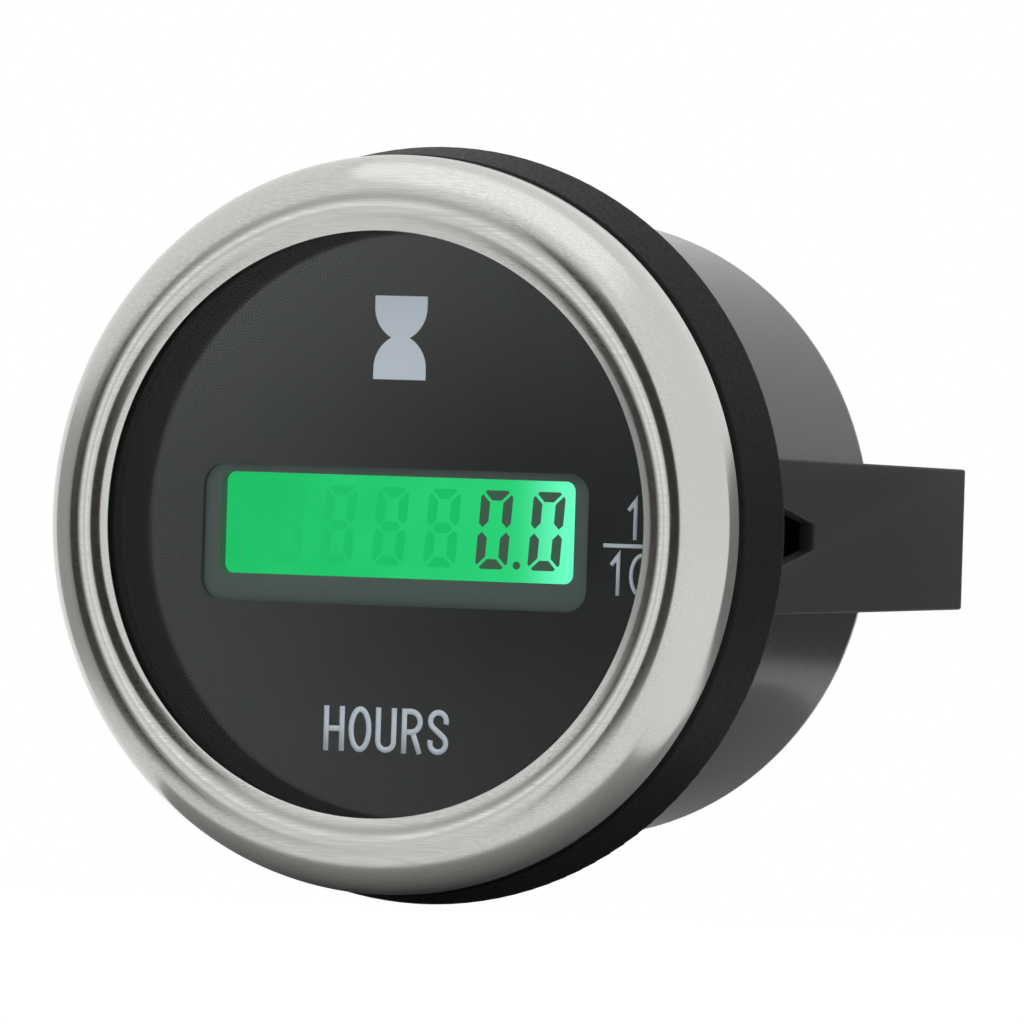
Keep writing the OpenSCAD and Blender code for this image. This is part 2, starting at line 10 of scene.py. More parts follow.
import bmesh
import bpy
from mathutils import Matrix, Vector
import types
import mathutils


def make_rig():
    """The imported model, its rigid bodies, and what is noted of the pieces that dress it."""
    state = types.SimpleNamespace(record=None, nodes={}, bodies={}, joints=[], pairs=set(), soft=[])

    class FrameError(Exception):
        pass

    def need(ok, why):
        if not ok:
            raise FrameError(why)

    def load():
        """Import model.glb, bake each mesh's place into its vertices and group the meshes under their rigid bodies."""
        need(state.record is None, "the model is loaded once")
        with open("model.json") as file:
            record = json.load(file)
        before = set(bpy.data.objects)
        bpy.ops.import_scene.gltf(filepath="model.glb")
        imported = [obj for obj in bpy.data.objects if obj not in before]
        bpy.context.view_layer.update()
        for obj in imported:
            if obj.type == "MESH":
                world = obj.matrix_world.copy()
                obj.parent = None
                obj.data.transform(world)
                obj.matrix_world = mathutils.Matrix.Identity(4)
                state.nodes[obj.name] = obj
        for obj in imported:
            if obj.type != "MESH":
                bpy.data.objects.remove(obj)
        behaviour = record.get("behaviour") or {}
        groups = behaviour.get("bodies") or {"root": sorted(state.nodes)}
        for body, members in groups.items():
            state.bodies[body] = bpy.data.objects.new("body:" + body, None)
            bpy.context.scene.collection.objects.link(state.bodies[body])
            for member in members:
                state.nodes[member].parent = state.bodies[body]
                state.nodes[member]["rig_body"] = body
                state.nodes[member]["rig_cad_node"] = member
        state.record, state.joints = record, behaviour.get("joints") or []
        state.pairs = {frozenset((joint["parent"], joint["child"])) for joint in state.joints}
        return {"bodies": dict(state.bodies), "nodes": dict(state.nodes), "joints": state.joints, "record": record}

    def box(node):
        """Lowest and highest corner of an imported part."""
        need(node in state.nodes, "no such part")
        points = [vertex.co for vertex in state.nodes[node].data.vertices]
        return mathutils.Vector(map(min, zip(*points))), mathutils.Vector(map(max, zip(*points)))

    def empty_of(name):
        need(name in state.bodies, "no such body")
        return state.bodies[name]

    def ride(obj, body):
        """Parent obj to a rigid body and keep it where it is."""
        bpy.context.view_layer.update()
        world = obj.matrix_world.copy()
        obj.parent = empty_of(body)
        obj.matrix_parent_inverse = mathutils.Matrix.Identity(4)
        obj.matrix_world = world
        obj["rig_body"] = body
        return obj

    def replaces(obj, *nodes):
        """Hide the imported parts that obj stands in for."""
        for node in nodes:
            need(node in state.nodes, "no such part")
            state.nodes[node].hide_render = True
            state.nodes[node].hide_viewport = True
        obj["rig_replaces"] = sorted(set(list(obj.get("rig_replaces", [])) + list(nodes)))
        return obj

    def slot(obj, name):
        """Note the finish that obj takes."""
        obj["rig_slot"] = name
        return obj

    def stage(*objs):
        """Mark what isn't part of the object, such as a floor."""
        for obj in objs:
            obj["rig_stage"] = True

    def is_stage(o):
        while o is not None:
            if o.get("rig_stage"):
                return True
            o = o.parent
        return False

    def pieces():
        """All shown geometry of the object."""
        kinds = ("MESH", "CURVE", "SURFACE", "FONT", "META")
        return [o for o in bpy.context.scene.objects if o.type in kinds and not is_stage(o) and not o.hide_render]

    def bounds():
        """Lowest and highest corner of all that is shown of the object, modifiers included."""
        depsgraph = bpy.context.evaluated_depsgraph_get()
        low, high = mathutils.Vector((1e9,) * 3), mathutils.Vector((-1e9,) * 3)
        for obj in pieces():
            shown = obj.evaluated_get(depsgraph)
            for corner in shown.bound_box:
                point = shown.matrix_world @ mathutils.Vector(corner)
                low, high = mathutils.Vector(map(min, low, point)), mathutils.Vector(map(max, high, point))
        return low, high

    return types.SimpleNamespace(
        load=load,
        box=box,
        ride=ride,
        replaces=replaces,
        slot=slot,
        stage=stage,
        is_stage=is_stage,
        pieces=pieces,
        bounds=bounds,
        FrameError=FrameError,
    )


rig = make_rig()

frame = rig.load()
CAD_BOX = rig.bounds()
LOG = logging.getLogger("hour_meter")

# One millimetre in the frame's metres
MM = 0.001
# Thickness of printed ink and display segments
FILM_MM = 0.03
# How far a stroke of print lies under the one that it meets
LAP_MM = 0.006
# Distance under which two vertices are one
MERGE_MM = 0.002
# Nearly all of a noise lies between these two
NOISE_LOW, NOISE_HIGH = 0.3, 0.7
# The display's glass and crystal without their light
UNLIT = "#08120c"

Socket = Union[bpy.types.NodeSocket, float, tuple]


class Body(Enum):
    """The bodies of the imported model."""

    METER = "meter"
    CLAMP = "clamp"


def linear(hex_colour: str) -> tuple[float, float, float, float]:
    """Turns an sRGB hex colour to linear.

    Args:
        hex_colour: The colour as "#rrggbb".

    Returns:
        Red, green, blue and an alpha of 1.
    """
    parts = [int(hex_colour[i:i + 2], 16) / 255 for i in (1, 3, 5)]
    red, green, blue = (p / 12.92 if p <= 0.04045 else ((p + 0.055) / 1.055) ** 2.4 for p in parts)
    return (red, green, blue, 1.0)


def grey(level: float) -> tuple[float, float, float, float]:
    """Gives a linear grey with an alpha of 1."""
    return (level, level, level, 1.0)


def add_node(tree: bpy.types.NodeTree, kind: str, inputs: Optional[dict[Union[str, int], Socket]] = None,
             **settings: Any) -> bpy.types.Node:
    """Adds a node with its settings and links.

    Args:
        tree: The node tree.
        kind: The node's type.
        inputs: Values for the node's sockets, by name or number; a socket is linked.
        settings: The node's own properties.

    Returns:
        The new node.
    """
    node = tree.nodes.new(kind)
    for key, value in settings.items():
        setattr(node, key, value)
    for key, value in (inputs or {}).items():
        if isinstance(value, bpy.types.NodeSocket):
            tree.links.new(value, node.inputs[key])
        else:
            node.inputs[key].default_value = value
    return node


@dataclass(frozen=True)
class Finish:
    """A moulded, cast or plated surface with a fine grain."""

    name: str
    colour: str
    shade: str
    roughness: float
    grain_mm: float
    relief_mm: float
    metallic: float = 0.0
    specular: float = 0.5
    detail: float = 3.0
    spread: float = 0.15

    def material(self) -> bpy.types.Material:
        """Builds the material, or finds it where it is built already.

        Returns:
            The material.
        """
        found = bpy.data.materials.get(self.name)
        if found:
            return found
        made = bpy.data.materials.new(self.name)
        made.use_nodes = True
        tree = made.node_tree
        tree.nodes.clear()
        add_node(tree, "ShaderNodeOutputMaterial", {"Surface": self.surface(tree)})
        return made

    def place(self, tree: bpy.types.NodeTree) -> bpy.types.NodeSocket:
        """Gives the socket of Object coordinates."""
        return add_node(tree, "ShaderNodeTexCoord").outputs["Object"]

    def grain(self, tree: bpy.types.NodeTree) -> bpy.types.NodeSocket:
        """Gives the surface's grain as a number from 0 to 1.

        Args:
            tree: The node tree.

        Returns:
            The socket of the grain.
        """
        noise = add_node(tree, "ShaderNodeTexNoise", {
            "Vector": self.place(tree), "Scale": 1 / (self.grain_mm * MM), "Detail": self.detail})
        return noise.outputs["Fac"]

    def tint(self, tree: bpy.types.NodeTree, share: bpy.types.NodeSocket) -> bpy.types.NodeSocket:
        """Mixes the two colours of the finish.

        Args:
            tree: The node tree.
            share: How much of the second colour shows.

        Returns:
            The socket of the mixed colour.
        """
        mixed = add_node(tree, "ShaderNodeMix", {
            0: share, 6: linear(self.colour), 7: linear(self.shade)}, data_type="RGBA")
        return mixed.outputs[2]

    def gloss(self, tree: bpy.types.NodeTree, share: bpy.types.NodeSocket) -> bpy.types.NodeSocket:
        """Gives a roughness that changes a little with the grain.

        Args:
            tree: The node tree.
            share: The grain.

        Returns:
            The socket of the roughness.
        """
        ranged = add_node(tree, "ShaderNodeMapRange", {
            "Value": share, "From Min": NOISE_LOW, "From Max": NOISE_HIGH,
            "To Min": self.roughness * (1 - self.spread), "To Max": self.roughness * (1 + self.spread)})
        return ranged.outputs["Result"]

    def relief(self, tree: bpy.types.NodeTree, height: bpy.types.NodeSocket) -> bpy.types.NodeSocket:
        """Gives the normal of the surface that the grain roughens.

        Args:
            tree: The node tree.
            height: The grain.

        Returns:
            The socket of the normal.
        """
        bump = add_node(tree, "ShaderNodeBump", {
            "Height": height, "Distance": self.relief_mm * MM, "Strength": 1.0})
        return bump.outputs["Normal"]

    def surface(self, tree: bpy.types.NodeTree) -> bpy.types.NodeSocket:
        """Builds the shader.

        Args:
            tree: The node tree.

        Returns:
            The shader's socket.
        """
        grain = self.grain(tree)
        shader = add_node(tree, "ShaderNodeBsdfPrincipled", {
            "Base Color": self.tint(tree, grain), "Roughness": self.gloss(tree, grain),
            "Metallic": self.metallic, "Specular IOR Level": self.specular,
            "Normal": self.relief(tree, grain)})
        return shader.outputs["BSDF"]


@dataclass(frozen=True)
class BrushedSteel(Finish):
    """Sheet steel brushed in one direction, which blurs reflections across the brushing."""

    detail: float = 2.0
    spread: float = 0.2
    streak_mm: float = 14.0
    stretch: float = 0.9

    def surface(self, tree: bpy.types.NodeTree) -> bpy.types.NodeSocket:
        """Builds the shader.

        Args:
            tree: The node tree.

        Returns:
            The shader's socket.
        """
        fine, along = 1 / (self.grain_mm * MM), 1 / (self.streak_mm * MM)
        laid = add_node(tree, "ShaderNodeMapping", {
            "Vector": self.place(tree), "Scale": (along, fine, fine)})
        streaks = add_node(tree, "ShaderNodeTexNoise", {
            "Vector": laid.outputs["Vector"], "Scale": 1.0, "Detail": self.detail}).outputs["Fac"]
        across = add_node(tree, "ShaderNodeCombineXYZ", {"Z": 1.0})
        shader = add_node(tree, "ShaderNodeBsdfPrincipled", {
            "Base Color": self.tint(tree, streaks), "Roughness": self.gloss(tree, streaks),
            "Metallic": self.metallic, "Anisotropic": self.stretch, "Tangent": across.outputs["Vector"],
            "Normal": self.relief(tree, streaks)})
        return shader.outputs["BSDF"]


@dataclass(frozen=True)
class ClearSheet(Finish):
    """Clear coated sheet: what is behind shows straight through, under a trace of reflection."""

    index: float = 1.49
    mirrored: float = 0.25

    def surface(self, tree: bpy.types.NodeTree) -> bpy.types.NodeSocket:
        """Builds the shader.

        Args:
            tree: The node tree.

        Returns:
            The shader's socket.
        """
        mirror = add_node(tree, "ShaderNodeBsdfGlossy", {
            "Color": linear(self.colour), "Roughness": self.roughness,
            "Normal": self.relief(tree, self.grain(tree))})
        clear = add_node(tree, "ShaderNodeBsdfTransparent", {"Color": linear(self.shade)})
        fresnel = add_node(tree, "ShaderNodeFresnel", {"IOR": self.index})
        back = add_node(tree, "ShaderNodeNewGeometry").outputs["Backfacing"]
        front = add_node(tree, "ShaderNodeMath", {0: 1.0, 1: back}, operation="SUBTRACT")
        share = add_node(tree, "ShaderNodeMath", {0: fresnel.outputs[0], 1: self.mirrored},
                         operation="MULTIPLY")
        shown = add_node(tree, "ShaderNodeMath", {0: share.outputs[0], 1: front.outputs[0]},
                         operation="MULTIPLY")
        mixed = add_node(tree, "ShaderNodeMixShader", {
            0: shown.outputs[0], 1: clear.outputs[0], 2: mirror.outputs[0]})
        return mixed.outputs[0]


@dataclass(frozen=True)
class LitGlass(Finish):
    """Display glass with a green light behind it, brighter towards the lamp at its right end."""

    detail: float = 2.0
    mottle: float = 0.12
    glow: str = "#70ffc8"
    left_mm: float = -15.8
    right_mm: float = 15.8
    lamp_mm: float = 6.5
    strength: float = 1.2

    def surface(self, tree: bpy.types.NodeTree) -> bpy.types.NodeSocket:
        """Builds the shader.

        Args:
            tree: The node tree.

        Returns:
            The shader's socket.
        """
        across = add_node(tree, "ShaderNodeSeparateXYZ", {"Vector": self.place(tree)}).outputs["X"]
        along = add_node(tree, "ShaderNodeMapRange", {
            "Value": across, "From Min": self.left_mm * MM,
            "From Max": self.right_mm * MM}).outputs["Result"]
        patchy = add_node(tree, "ShaderNodeMapRange", {
            "Value": self.grain(tree), "From Min": NOISE_LOW, "From Max": NOISE_HIGH,
            "To Min": -self.mottle, "To Max": self.mottle}).outputs["Result"]
        share = add_node(tree, "ShaderNodeMath", {0: along, 1: patchy}, operation="ADD", use_clamp=True)
        even = self.tint(tree, share.outputs[0])
        near = add_node(tree, "ShaderNodeMapRange", {
            "Value": across, "From Min": (self.right_mm - self.lamp_mm) * MM,
            "From Max": self.right_mm * MM},
            interpolation_type="SMOOTHSTEP").outputs["Result"]
        lit = add_node(tree, "ShaderNodeMix", {0: near, 6: even, 7: linear(self.glow)}, data_type="RGBA")
        shader = add_node(tree, "ShaderNodeBsdfPrincipled", {
            "Base Color": linear(UNLIT), "Roughness": self.roughness,
            "Specular IOR Level": self.specular, "Emission Color": lit.outputs[2],
            "Emission Strength": self.strength})
        return shader.outputs["BSDF"]


@dataclass(frozen=True)
class Segment(Finish):
    """Liquid crystal that darkens the light behind it, a little unevenly."""

    strength: float = 1.0

    def surface(self, tree: bpy.types.NodeTree) -> bpy.types.NodeSocket:
        """Builds the shader.

        Args:
            tree: The node tree.

        Returns:
            The shader's socket.
        """
        shader = add_node(tree, "ShaderNodeBsdfPrincipled", {
            "Base Color": linear(UNLIT), "Roughness": self.roughness,
            "Specular IOR Level": self.specular, "Emission Color": self.tint(tree, self.grain(tree)),
            "Emission Strength": self.strength})
        return shader.outputs["BSDF"]


# Brushed stainless steel: bright, with fine level streaks that smear reflections up and down; real streaks
# are about 0.05 mm wide, too fine for the picture, so these are drawn a little coarser
STAINLESS = BrushedSteel("Brushed_stainless_steel", "#d8d7d3", "#b1b0ac", 0.18, 0.09, 0.0002, metallic=1.0)
# Coated acrylic sheet: almost unseen, with a trace of reflection
LENS = ClearSheet("Coated_clear_acrylic", "#ffffff", "#f6f8f7", 0.03, 9.0, 0.0004)
# Moulded nitrile rubber: near black, with a dull even sheen
RUBBER = Finish("Moulded_nitrile_rubber", "#0a0a0a", "#0e0e0e", 0.55, 0.35, 0.004, specular=0.1)
# Printed aluminium under gloss lacquer: a dark mirror that shows the well's wall and the room
DIAL_INK = Finish("Lacquered_black_ink", "#2b2c2d", "#2e2f30", 0.07, 4.0, 0.0)
# Screen printed legend ink: pale grey with a touch of blue
LEGEND_INK = Finish("Screen_printed_pale_ink", "#e8edff", "#eef2ff", 0.55, 0.25, 0.002)
# Moulded black polystyrene: matt, so that the well round the dial stays dark
SPACER = Finish("Moulded_black_polystyrene", "#0c0c0d", "#111112", 0.6, 0.3, 0.004, specular=0.2)
# Moulded grey polycarbonate: a little light from the display shows in it
HOLDER = Finish("Moulded_grey_polycarbonate", "#566360", "#5e6b66", 0.5, 0.4, 0.004, specular=0.3)
# Back lit liquid crystal glass: even green with a bright right end
DISPLAY = LitGlass("Back_lit_display_glass", "#12ba63", "#2ed079", 0.2, 4.0, 0.0, specular=0.0)
# Liquid crystal, switched on: dark grey green
LIQUID_CRYSTAL = Segment("Dark_liquid_crystal", "#40594a", "#486252", 0.3, 0.4, 0.0, specular=0.0)
# Liquid crystal, switched off: only just darker than the glass
RESTING_CRYSTAL = Segment("Resting_liquid_crystal", "#12b962", "#1cc06a", 0.3, 0.8, 0.0, specular=0.0,
                          strength=1.16)
# Moulded glossy ABS: black that turns pale where it turns away, from the room's light
CASE = Finish("Moulded_glossy_ABS", "#111112", "#161617", 0.16, 1.6, 0.0015, specular=0.34)
# Powder coated steel: satin black with a fine orange peel
BRACKET = Finish("Satin_powder_coat", "#1e1e1e", "#222222", 0.5, 0.3, 0.003, specular=0.22)
# Zinc plated steel: cool grey, cloudy
ZINC = Finish("Zinc_plated_steel", "#b3b7bb", "#9ea3a8", 0.32, 0.6, 0.003, metallic=1.0)
# Tinned brass: pale warm grey, softly bright
TINNED = Finish("Tinned_brass", "#cdc9bf", "#b9b4a8", 0.3, 0.5, 0.003, metallic=1.0)
# Clear acrylic plate, seen edge on as a pale solid
GUIDE = Finish("Frosted_acrylic", "#dfe6e3", "#cfd9d5", 0.4, 0.5, 0.004)
# Layered silicone rubber: grey, soft
STRIP = Finish("Layered_silicone_rubber", "#6c6f70", "#55585a", 0.6, 0.3, 0.008)
# Glass epoxy board under green solder resist: glossy, with the weave under it
BOARD = Finish("Green_solder_resist", "#1d5a35", "#17492b", 0.35, 0.5, 0.006)
# Moulded epoxy: dull black with a fine spark texture
CHIP = Finish("Moulded_black_epoxy", "#202122", "#2a2b2c", 0.6, 0.15, 0.006)
# Drawn nickel silver can: bright, with faint drawing marks
CAN = Finish("Drawn_nickel_silver", "#b8b7b0", "#a5a49c", 0.28, 0.4, 0.002, metallic=1.0)
# Heat shrunk sleeve: smooth dark blue film
SLEEVE = Finish("Shrunk_blue_sleeve", "#22315e", "#1b284f", 0.3, 1.2, 0.004)
# Moulded white lamp body
LAMP = Finish("Moulded_white_polyamide", "#e4e4dc", "#d6d6cc", 0.5, 0.3, 0.005)

NODE_FINISH: dict[str, Finish] = {
    "lens": LENS, "lens_gasket": RUBBER, "panel_gasket": RUBBER, "dial_plate": DIAL_INK,
    "dial_spacer": SPACER, "lcd_holder": HOLDER, "lcd_panel": DISPLAY, "light_guide": GUIDE,
    "contact_strips": STRIP, "circuit_board": BOARD, "backlight_leds": LAMP, "controller_chip": CHIP,
    "memory_chip": CHIP, "quartz_crystal": CAN, "supply_capacitor": SLEEVE, "voltage_regulator": CHIP,
    "input_diode": CHIP, "resistors": CHIP, "board_screws": ZINC, "case": CASE, "positive_terminal": TINNED,
    "negative_terminal": TINNED, "flat_washers": ZINC, "spring_washers": ZINC, "nut_left": ZINC,
    "nut_right": ZINC,
}


def make_piece(bm: bmesh.types.BMesh, name: str, finish: Finish, body: Body, slot: str,
               replaced: Optional[str] = None, sharp_deg: float = 35.0) -> bpy.types.Object:
    """Turns a bmesh into a finished piece that rides on a body.

    Args:
        bm: The shape, in metres; it is freed.
        name: The piece's name.
        finish: What it is made of.
        body: The body that it rides on.
        slot: The record's material slot.
        replaced: The node that it stands for.
        sharp_deg: The angle past which an edge is shaded sharp.

    Returns:
        The piece.
    """
    mesh = bpy.data.meshes.new(name)
    for face in bm.faces:
        face.smooth = True
    bm.to_mesh(mesh)
    bm.free()
    mesh.set_sharp_from_angle(angle=math.radians(sharp_deg))
    mesh.materials.append(finish.material())
    piece = bpy.data.objects.new(name, mesh)
    bpy.context.scene.collection.objects.link(piece)
    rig.ride(piece, body.value)
    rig.slot(piece, slot)
    if replaced:
        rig.replaces(piece, replaced)
    LOG.info("%s: %d faces on %s", name, len(mesh.polygons), body.value)
    return piece


def join(bm: bmesh.types.BMesh, part: bmesh.types.BMesh) -> None:
    """Adds one bmesh to another.

    Args:
        bm: The bmesh that gets it.
        part: The bmesh that is added; it is freed.
    """
    mesh = bpy.data.meshes.new("part")
    part.to_mesh(mesh)
    part.free()
    bm.from_mesh(mesh)
    bpy.data.meshes.remove(mesh)


def flat_sheet(wide: float, tall: float, place: Matrix) -> bmesh.types.BMesh:
    """Cuts a flat rectangle.

    Args:
        wide: Its width in millimetres.
        tall: Its other side in millimetres.
        place: The matrix that sets it in its place.

    Returns:
        The bmesh with the rectangle.
    """
    bm = bmesh.new()
    size = Matrix.Diagonal((wide * MM, tall * MM, 1, 1))
    bmesh.ops.create_grid(bm, x_segments=1, y_segments=1, size=0.5, matrix=place @ size)
    return bm


class Pen:
    """Draws a chain of edges in an upright plane, in millimetres, with x across and z up."""

    def __init__(self, bm: bmesh.types.BMesh, x: float, z: float, y: float = 0.0) -> None:
        """Sets the pen down.

        Args:
            bm: The bmesh that the chain is drawn in.
            x: The start's place across.
            z: The start's height.
            y: The plane's place.
        """
        self.bm = bm
        self.y = y
        self.tip = bm.verts.new(Vector((x, y, z)) * MM)

    def line(self, x: float, z: float) -> "Pen":
        """Draws a straight line to a point.

        Args:
            x: The point's place across.
            z: The point's height.

        Returns:
            The pen.
        """
        made = bmesh.ops.extrude_vert_indiv(self.bm, verts=[self.tip])
        self.tip = made["verts"][0]
        self.tip.co = Vector((x, self.y, z)) * MM
        return self

    def arc(self, x: float, z: float, degrees: float, steps: int = 12) -> "Pen":
        """Draws an arc about a point, counter-clockwise as seen from the front.

        Args:
            x: The centre's place across.
            z: The centre's height.
            degrees: The angle; a negative one runs clockwise.
            steps: How many edges it has.

        Returns:
            The pen.
        """
        made = bmesh.ops.spin(self.bm, geom=[self.tip], cent=Vector((x, self.y, z)) * MM, axis=(0, -1, 0),
                              angle=math.radians(degrees), steps=steps, use_duplicate=False)
        self.tip = next(part for part in made["geom_last"] if isinstance(part, bmesh.types.BMVert))
        return self


@dataclass
class Bezel:
    """The formed stainless ring: a rolled rim, a wall, and a round face over the crest to the lip."""

    outer_r: float = 30.05
    sheet: float = 0.6
    rim_r: float = 27.7
    face_r: float = 4.2
    lip_r: float = 23.7
    edge_round: float = 0.16
    turns: int = 240

    def section(self) -> bmesh.types.BMesh:
        """Draws the ring's cross section as a closed chain.

        Returns:
            The bmesh with the section in the plane of x across and z forward.
        """
        bm = bmesh.new()
        low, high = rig.box("bezel")
        crest, back = -low[1] / MM, -high[1] / MM
        wall_r, face_in_r = self.outer_r - self.sheet, self.face_r - self.sheet
        centre_r, centre_f = self.outer_r - self.face_r, crest - self.face_r
        turn = math.degrees(math.acos((self.lip_r - centre_r) / self.face_r))
        end = math.radians(turn)
        pen = Pen(bm, self.rim_r, back)
        first = pen.tip
        pen.line(wall_r, back).arc(wall_r, back + self.sheet, 90, steps=6)
        pen.line(self.outer_r, centre_f).arc(centre_r, centre_f, turn, steps=44)
        lip = pen.tip
        pen.line(centre_r + face_in_r * math.cos(end), centre_f + face_in_r * math.sin(end))
        under_lip = pen.tip
        pen.arc(centre_r, centre_f, -turn, steps=20).line(wall_r, back + self.sheet)
        pen.line(self.rim_r, back + self.sheet)
        bm.edges.new((pen.tip, first))
        self.ease(bm, [lip, under_lip], self.edge_round, segments=4)
        return bm

    @staticmethod
    def ease(bm: bmesh.types.BMesh, corners: list[bmesh.types.BMVert], radius: float, segments: int) -> None:
        """Rounds corners of the section.

        Args:
            bm: The section.
            corners: The corners to round.
            radius: How far the rounding reaches, in millimetres.
            segments: How many edges it gets.
        """
        bmesh.ops.bevel(bm, geom=corners, offset=radius * MM, offset_type="OFFSET", affect="VERTICES",
                        segments=segments, profile=0.5, material=-1)

    def build(self) -> bpy.types.Object:
        """Spins the section into the ring.

        Returns:
            The piece.
        """
        bm = self.section()
        bmesh.ops.rotate(bm, verts=bm.verts, cent=(0, 0, 0), matrix=Matrix.Rotation(math.pi / 2, 3, "X"))
        bmesh.ops.spin(bm, geom=bm.verts[:] + bm.edges[:], cent=(0, 0, 0), axis=(0, 1, 0), angle=math.tau,
                       steps=self.turns, use_merge=True)
        bmesh.ops.remove_doubles(bm, verts=bm.verts, dist=MERGE_MM * MM)
        bmesh.ops.recalc_face_normals(bm, faces=bm.faces)
        return make_piece(bm, "bezel_ring", STAINLESS, Body.METER, "stainless", "bezel")


@dataclass
class DialPrint:
    """The pale print on the dial: an hourglass, the word for the unit, and the tenths mark."""

    stroke: float = 0.45
    thin_stroke: float = 0.32
    letter_pitch: float = 2.32
    letter_w: float = 1.4
    word_x: float = -4.79
    word_foot: float = -18.53
    word_h: float = 3.66
    glass_top: float = 18.6
    glass_foot: float = 11.8
    glass_w: float = 4.65
    glass_x: float = 0.07
    waist_w: float = 1.6
    shoulder_h: float = 0.9
    o_half_w: float = 0.79
    o_extra_h: float = 0.06
    r_bowl: float = 0.84
    r_leg_x: float = 0.05
    s_bow: float = 0.7
    s_open_deg: float = 20.0
    ones: tuple[tuple[float, float, float], ...] = ((21.28, 2.58, 3.15), (19.9, -1.85, 3.25))
    flag: tuple[float, float] = (0.62, 0.8)
    bar: tuple[float, float, float] = (18.54, 23.8, -1.08)
    nought: tuple[float, float, float, float] = (22.0, -3.43, 0.95, 1.62)

    def front(self) -> float:
        """Gives the dial's front face as a place along y, in millimetres."""
        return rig.box("dial_plate")[0][1] / MM

    def hourglass(self) -> bpy.types.Object:
        """Builds the hourglass: one outline on the left, mirrored down and across, and filled.

        Returns:
            The piece.
        """
        bm = bmesh.new()
        front = self.front()
        half, waist = self.glass_w / 2, self.waist_w / 2
        middle = (self.glass_top + self.glass_foot) / 2
        start = self.glass_top - self.shoulder_h
        drop, inset = start - middle, half - waist
        radius = (inset ** 2 + drop ** 2) / (2 * inset)
        sweep = math.degrees(math.atan2(drop, radius - inset))
        pen = Pen(bm, -half, self.glass_top - middle, front)
        pen.line(-half, drop).arc(radius - half, drop, sweep, 14)
        for axis in "ZX":
            bmesh.ops.mirror(bm, geom=bm.verts[:] + bm.edges[:], matrix=Matrix(), merge_dist=MERGE_MM * MM,
                             axis=axis)
        bmesh.ops.remove_doubles(bm, verts=bm.verts, dist=MERGE_MM * MM)
        bmesh.ops.bridge_loops(bm, edges=bm.edges[:])
        bmesh.ops.translate(bm, verts=bm.verts, vec=Vector((self.glass_x, 0, middle)) * MM)
        raise_film(bm)
        return make_piece(bm, "hourglass_print", LEGEND_INK, Body.METER, "dial_black")

    def word(self) -> bpy.types.Object:
        """Draws the word with single strokes.

        Returns:
            The piece.
        """
        bm = bmesh.new()
        letters = (self.letter_h, self.letter_o, self.letter_u, self.letter_r, self.letter_s)
        for number, draw in enumerate(letters):
            draw(bm, self.word_x + number * self.letter_pitch)
        return self.inked(bm, "word_print", self.stroke)

    def letter_h(self, bm: bmesh.types.BMesh, x: float) -> None:
        """Draws an H about x."""
        half, foot, top, y = self.letter_w / 2, self.word_foot, self.word_foot + self.word_h, self.front()
        middle = (foot + top) / 2
        Pen(bm, x - half, foot, y).line(x - half, top)
        Pen(bm, x + half, foot, y).line(x + half, top)
        Pen(bm, x - half, middle, y + LAP_MM).line(x + half, middle)

    def letter_o(self, bm: bmesh.types.BMesh, x: float) -> None:
        """Draws an O about x as a narrow oval."""
        tall = (self.word_h - self.stroke + self.o_extra_h) / 2
        self.oval(bm, x, self.word_foot + self.word_h / 2, self.o_half_w, tall)

    def oval(self, bm: bmesh.types.BMesh, x: float, z: float, half_w: float, half_h: float) -> None:
        """Draws a closed oval.

        Args:
            bm: The bmesh that it is drawn in.
            x: The centre's place across.
            z: The centre's height.
            half_w: Half of its width.
            half_h: Half of its height.
        """
        place = (Matrix.Translation(Vector((x, self.front(), z)) * MM) @ Matrix.Rotation(math.pi / 2, 4, "X")
                 @ Matrix.Diagonal((half_w * MM, half_h * MM, 1, 1)))
        bmesh.ops.create_circle(bm, cap_ends=False, segments=40, radius=1.0, matrix=place)

    def letter_u(self, bm: bmesh.types.BMesh, x: float) -> None:
        """Draws a U about x."""
        half, foot, top = self.letter_w / 2, self.word_foot + self.stroke / 2, self.word_foot + self.word_h
        pen = Pen(bm, x - half, top, self.front())
        pen.line(x - half, foot + half).arc(x, foot + half, 180, 18).line(x + half, top)

    def letter_r(self, bm: bmesh.types.BMesh, x: float) -> None:
        """Draws an R about x, with a bowl over the upper part and a straight leg."""
        half, foot, y = self.letter_w / 2, self.word_foot, self.front()
        top = foot + self.word_h - self.stroke / 2
        bowl = self.r_bowl
        turn = x + half - bowl
        Pen(bm, x - half, foot, y).line(x - half, foot + self.word_h)
        loop = Pen(bm, x - half, top, y + LAP_MM).line(turn, top)
        loop.arc(turn, top - bowl, -180, 16).line(x - half, top - 2 * bowl)
        Pen(bm, x + self.r_leg_x, top - 2 * bowl, y + 2 * LAP_MM).line(x + half, foot)

    def letter_s(self, bm: bmesh.types.BMesh, x: float) -> None:
        """Draws an S about x: two bows joined by a straight line that touches both."""
        bow = self.s_bow
        low = self.word_foot + self.stroke / 2 + bow
        high = self.word_foot + self.word_h - self.stroke / 2 - bow
        lean = math.degrees(math.asin(2 * bow / (high - low)))
        sweep = 180 + lean + self.s_open_deg
        start = math.radians(-self.s_open_deg)
        pen = Pen(bm, x + bow * math.cos(start), high + bow * math.sin(start), self.front())
        pen.arc(x, high, sweep, 20)
        leave = math.radians(lean)
        pen.line(x + bow * math.cos(leave), low + bow * math.sin(leave)).arc(x, low, -sweep, 20)

